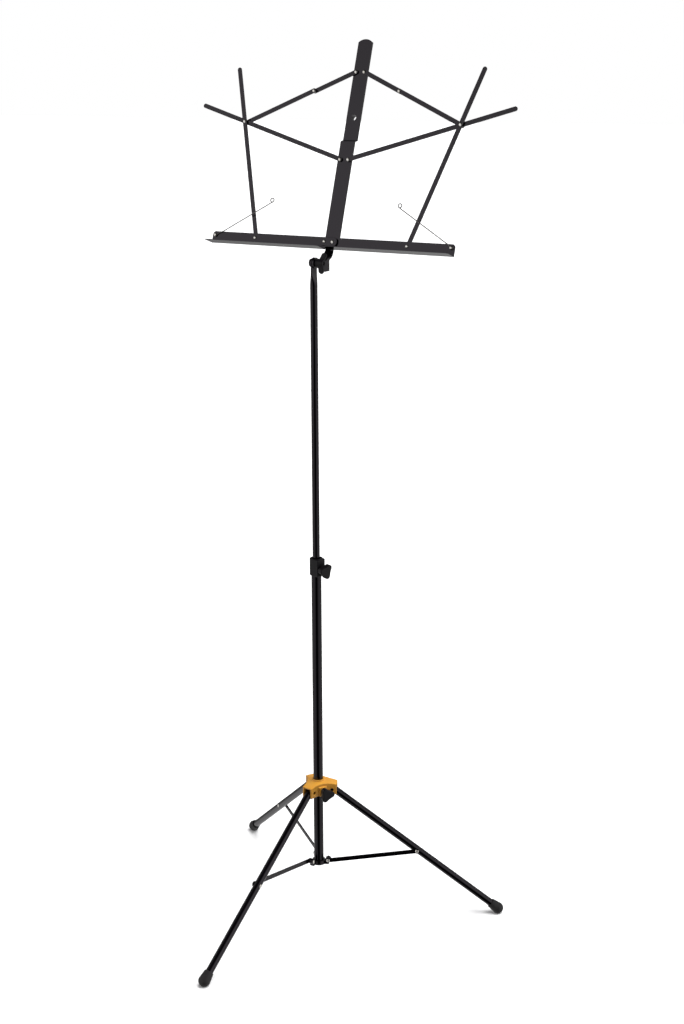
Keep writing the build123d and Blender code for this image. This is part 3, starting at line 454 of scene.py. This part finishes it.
def arc(centre, radius, start, sweep):
    """Points on an arc in the plane."""
    angles = [start + sweep * i / (ARC_POINTS - 1) for i in range(ARC_POINTS)]
    return [centre + Vector((radius * cos(a), radius * sin(a))) for a in angles]


def page_wire_route(side):
    """Middle line of a page wire, in its own plane: inward along the tray, and up."""
    bends = [Vector(point) for point in WIRE_BENDS[side]]
    loop = Vector(WIRE_LOOP)
    leave = atan2(bends[0].y, bends[0].x)
    arrive = atan2(loop.y - bends[-1].y, loop.x - bends[-1].x)
    eye = arc(Vector((0.0, 0.0)), WIRE_EYE_R, leave - pi / 2 - EYE_SWEEP, EYE_SWEEP)
    end_loop = arc(loop, WIRE_LOOP_R, arrive - pi / 2, EYE_SWEEP)
    return eye + bends + end_loop


def wire_piece(name, points):
    """Round wire along a smooth curve steered by a list of points."""
    data = bpy.data.curves.new(name + "_line", "CURVE")
    data.dimensions = "3D"
    data.bevel_depth = WIRE_R
    data.bevel_resolution = WIRE_ROUND_STEPS
    data.resolution_u = WIRE_LENGTH_STEPS
    data.use_fill_caps = True
    spline = data.splines.new("NURBS")
    spline.points.add(len(points) - 1)
    for control, point in zip(spline.points, points):
        control.co = (*point, 1.0)
    spline.order_u = WIRE_CURVE_ORDER
    spline.use_endpoint_u = True
    line = bpy.data.objects.new(name + "_line", data)
    bpy.context.scene.collection.objects.link(line)
    bpy.context.view_layer.update()
    mesh = bpy.data.meshes.new_from_object(line)
    bpy.data.objects.remove(line)
    piece = bpy.data.objects.new(name + "_finished", mesh)
    bpy.context.scene.collection.objects.link(piece)
    return piece


def page_wire(frame, side, materials):
    """One length of spring wire: eye round the rivet, bent arm and closed end loop."""
    name = "page_wire_" + side
    point, axis = pivot(frame, name + "_swing")
    centre = point + axis * middle_along(frame, name, point, axis)
    inward = Vector((1.0 if side == "left" else -1.0, 0.0, 0.0))
    up = axis.cross(inward)
    up = up if up.z > 0 else -up
    route = page_wire_route(side)
    piece = wire_piece(name, [centre + inward * place.x + up * place.y for place in route])
    smooth(piece, NO_CREASES)
    stand_in(frame, piece, name, materials)


def oblong_ring(centre_x, centre_y, z, half_thickness, half_width):
    """Ring of points with two half-round ends, thin along X and wide along Y.

    The points stand half a step off the axes, so each one belongs to one end.
    """
    ring = []
    straight = half_width - half_thickness
    for i in range(TUBE_SIDES):
        angle = 2 * pi * (i + 0.5) / TUBE_SIDES
        end = straight if angle < pi else -straight
        x = centre_x + half_thickness * cos(angle)
        y = centre_y + end + half_thickness * sin(angle)
        ring.append((x, y, z))
    return ring


def half_width_at_same_girth(radius, half_thickness):
    """Half the width of a round tube squeezed to a thickness, with the girth it had."""
    return half_thickness + pi / 2 * (radius - half_thickness)


def squeeze_rings(radius, bolt, start_z):
    """Rings that turn the round tube into its flat blade."""
    rings = []
    for step in range(1, SQUEEZE_RINGS + 1):
        share = step / SQUEEZE_RINGS
        eased = share * share * (3 - 2 * share)
        half_thickness = radius + (BLADE_HALF_THICKNESS - radius) * eased
        half_width = half_width_at_same_girth(radius, half_thickness)
        x = bolt.x + BLADE_OFFSET * eased
        z = start_z + SQUEEZE_LENGTH * share
        rings.append(oblong_ring(x, bolt.y, z, half_thickness, half_width))
    return rings


def tip_rings(radius, bolt):
    """Rings of the blade's rounded end, from the bolt upwards."""
    blade_half_width = half_width_at_same_girth(radius, BLADE_HALF_THICKNESS)
    x = bolt.x + BLADE_OFFSET
    rings = []
    for step in range(TIP_RINGS):
        angle = pi / 2 * step / TIP_RINGS
        z = bolt.z + blade_half_width * sin(angle)
        half_width = max(blade_half_width * cos(angle), BLADE_HALF_THICKNESS)
        rings.append(oblong_ring(x, bolt.y, z, BLADE_HALF_THICKNESS, half_width))
    return rings


def squeezed_tube(frame, materials):
    """Upper tube, squeezed flat at its top without losing girth, with a rounded end."""
    low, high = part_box("upper_tube")
    radius = (high.x - low.x) / 2
    bolt, _ = pivot(frame, "desk_tilt")
    squeeze_start = bolt.z - FLAT_BELOW_BOLT - SQUEEZE_LENGTH
    round_heights = (low.z, low.z + TUBE_LIP, squeeze_start)
    rings = [oblong_ring(bolt.x, bolt.y, z, radius, radius) for z in round_heights]
    rings += squeeze_rings(radius, bolt, squeeze_start)
    rings += tip_rings(radius, bolt)
    piece = ringed_piece("upper_tube_finished", rings)
    smooth(piece)
    stand_in(frame, piece, "upper_tube", materials)


# ---------------------------------------------------------------- studio


def add_floor():
    """Pale floor that takes shadows. Reflected and bounced light pass it, to the studio."""
    mesh = bpy.data.meshes.new("floor")
    size = FLOOR_HALF_SIZE
    corners = [(-size, -size, 0), (size, -size, 0), (size, size, 0), (-size, size, 0)]
    mesh.from_pydata(corners, [], [(0, 1, 2, 3)])
    floor = bpy.data.objects.new("floor", mesh)
    floor.location.z = -FLOOR_GAP
    floor.visible_glossy = False
    floor.visible_diffuse = False
    bpy.context.scene.collection.objects.link(floor)
    paint(floor, floor_paint())


def fade(tree, source, from_value, to_value, before, after):
    """Value that changes smoothly from before to after while the source crosses a band."""
    band = node(tree, "ShaderNodeMapRange", interpolation_type="SMOOTHSTEP")
    band.inputs["From Min"].default_value = from_value
    band.inputs["From Max"].default_value = to_value
    band.inputs["To Min"].default_value = before
    band.inputs["To Max"].default_value = after
    tree.links.new(source, band.inputs["Value"])
    return band.outputs["Result"]


def combine(tree, operation, first, second):
    """One maths node over two shader values."""
    both = node(tree, "ShaderNodeMath", operation=operation)
    tree.links.new(first, both.inputs[0])
    tree.links.new(second, both.inputs[1])
    return both.outputs["Value"]


def direction_parts(tree):
    """Of a direction: how far it faces the camera's side (1 to -1), and its upward part."""
    coordinates = node(tree, "ShaderNodeTexCoord")
    level = node(tree, "ShaderNodeVectorMath", operation="MULTIPLY")
    level.inputs[1].default_value = (1.0, 1.0, 0.0)
    heading = node(tree, "ShaderNodeVectorMath", operation="NORMALIZE")
    facing = node(tree, "ShaderNodeVectorMath", operation="DOT_PRODUCT")
    facing.inputs[1].default_value = (sin(CAMERA_AZIMUTH), -cos(CAMERA_AZIMUTH), 0.0)
    parts = node(tree, "ShaderNodeSeparateXYZ")
    tree.links.new(coordinates.outputs["Generated"], level.inputs[0])
    tree.links.new(level.outputs["Vector"], heading.inputs[0])
    tree.links.new(heading.outputs["Vector"], facing.inputs[0])
    tree.links.new(coordinates.outputs["Generated"], parts.inputs["Vector"])
    return facing.outputs["Value"], parts.outputs["Z"]


def studio_brightness(tree):
    """Bright side walls, a dark bay on the camera's side, dim back and ceiling, glow below."""
    facing, rise = direction_parts(tree)
    bay = fade(tree, facing, cos(BRIGHT_BEYOND), cos(DARK_WITHIN), 1.0, DARK_STRENGTH)
    back = fade(tree, facing, cos(BACK_FADES_TO), cos(BACK_FADES_FROM), BACK_STRENGTH, 1.0)
    ceiling = fade(tree, rise, CEILING_FADES_FROM, CEILING_FADES_TO, 1.0, CEILING_STRENGTH)
    glow = fade(tree, rise, GLOW_FADES_TO, GLOW_FADES_FROM, GLOW_STRENGTH, 0.0)
    low_wall = fade(tree, rise, LOW_WALL_FROM, LOW_WALL_TO, LOW_WALL_STRENGTH, 1.0)
    upward = combine(tree, "MULTIPLY", low_wall, ceiling)
    walls = combine(tree, "MULTIPLY", back, upward)
    return combine(tree, "MULTIPLY", bay, combine(tree, "MAXIMUM", walls, glow))


def add_sky():
    """World that lights the object as the studio does and looks plain white to the camera."""
    world = bpy.data.worlds.new("studio")
    world.use_nodes = True
    bpy.context.scene.world = world
    tree = world.node_tree
    background = tree.nodes["Background"]
    rays = node(tree, "ShaderNodeLightPath")
    seen = node(tree, "ShaderNodeMix", data_type="FLOAT")
    tree.links.new(rays.outputs["Is Camera Ray"], seen.inputs["Factor"])
    tree.links.new(studio_brightness(tree), seen.inputs["A"])
    seen.inputs["B"].default_value = 1.0
    tree.links.new(seen.outputs["Result"], background.inputs["Strength"])
    background.inputs["Color"].default_value = (1.0, 1.0, 1.0, 1.0)


def add_soft_light(name, strength, angle, comes_from):
    """Broad sun that lights matt surfaces and adds no highlight."""
    light = bpy.data.lights.new(name, "SUN")
    light.energy = strength
    light.angle = angle
    lamp = bpy.data.objects.new(name, light)
    lamp.rotation_euler = (-comes_from).to_track_quat("-Z", "Y").to_euler()
    lamp.visible_glossy = False
    bpy.context.scene.collection.objects.link(lamp)


def mast_foot(frame):
    """Point on the floor under the mast's axis."""
    point, _ = pivot(frame, "mast_swivel")
    return Vector((point.x, point.y, 0.0))


def add_camera(frame):
    """Camera at the product picture's angle."""
    data = bpy.data.cameras.new("camera")
    data.sensor_fit = "VERTICAL"
    data.sensor_height = SENSOR_MM
    data.lens = LENS_MM
    camera = bpy.data.objects.new("camera", data)
    turn = Matrix.Rotation(CAMERA_AZIMUTH, 4, "Z")
    drop = Matrix.Rotation(pi / 2 - CAMERA_DROP, 4, "X")
    roll = Matrix.Rotation(CAMERA_ROLL, 4, "Z")
    place = Matrix.Translation(mast_foot(frame) + CAMERA_FROM_MAST)
    camera.matrix_world = place @ turn @ drop @ roll
    bpy.context.scene.collection.objects.link(camera)
    bpy.context.scene.camera = camera


def main():
    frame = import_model()
    materials = {slot: finish_material(slot, finish) for slot, finish in FINISHES.items()}
    finish_cad_nodes(frame, materials)
    round_sheet_metal(frame, materials)
    soften_mouldings(frame, materials)
    squeezed_tube(frame, materials)
    for side in ("left", "right"):
        page_wire(frame, side, materials)
    add_floor()
    add_sky()
    add_soft_light("key", KEY_STRENGTH, KEY_ANGLE, KEY_FROM)
    add_soft_light("fill", FILL_STRENGTH, FILL_ANGLE, FILL_FROM)
    add_camera(frame)
    bpy.context.scene.view_settings.view_transform = "Standard"


main()
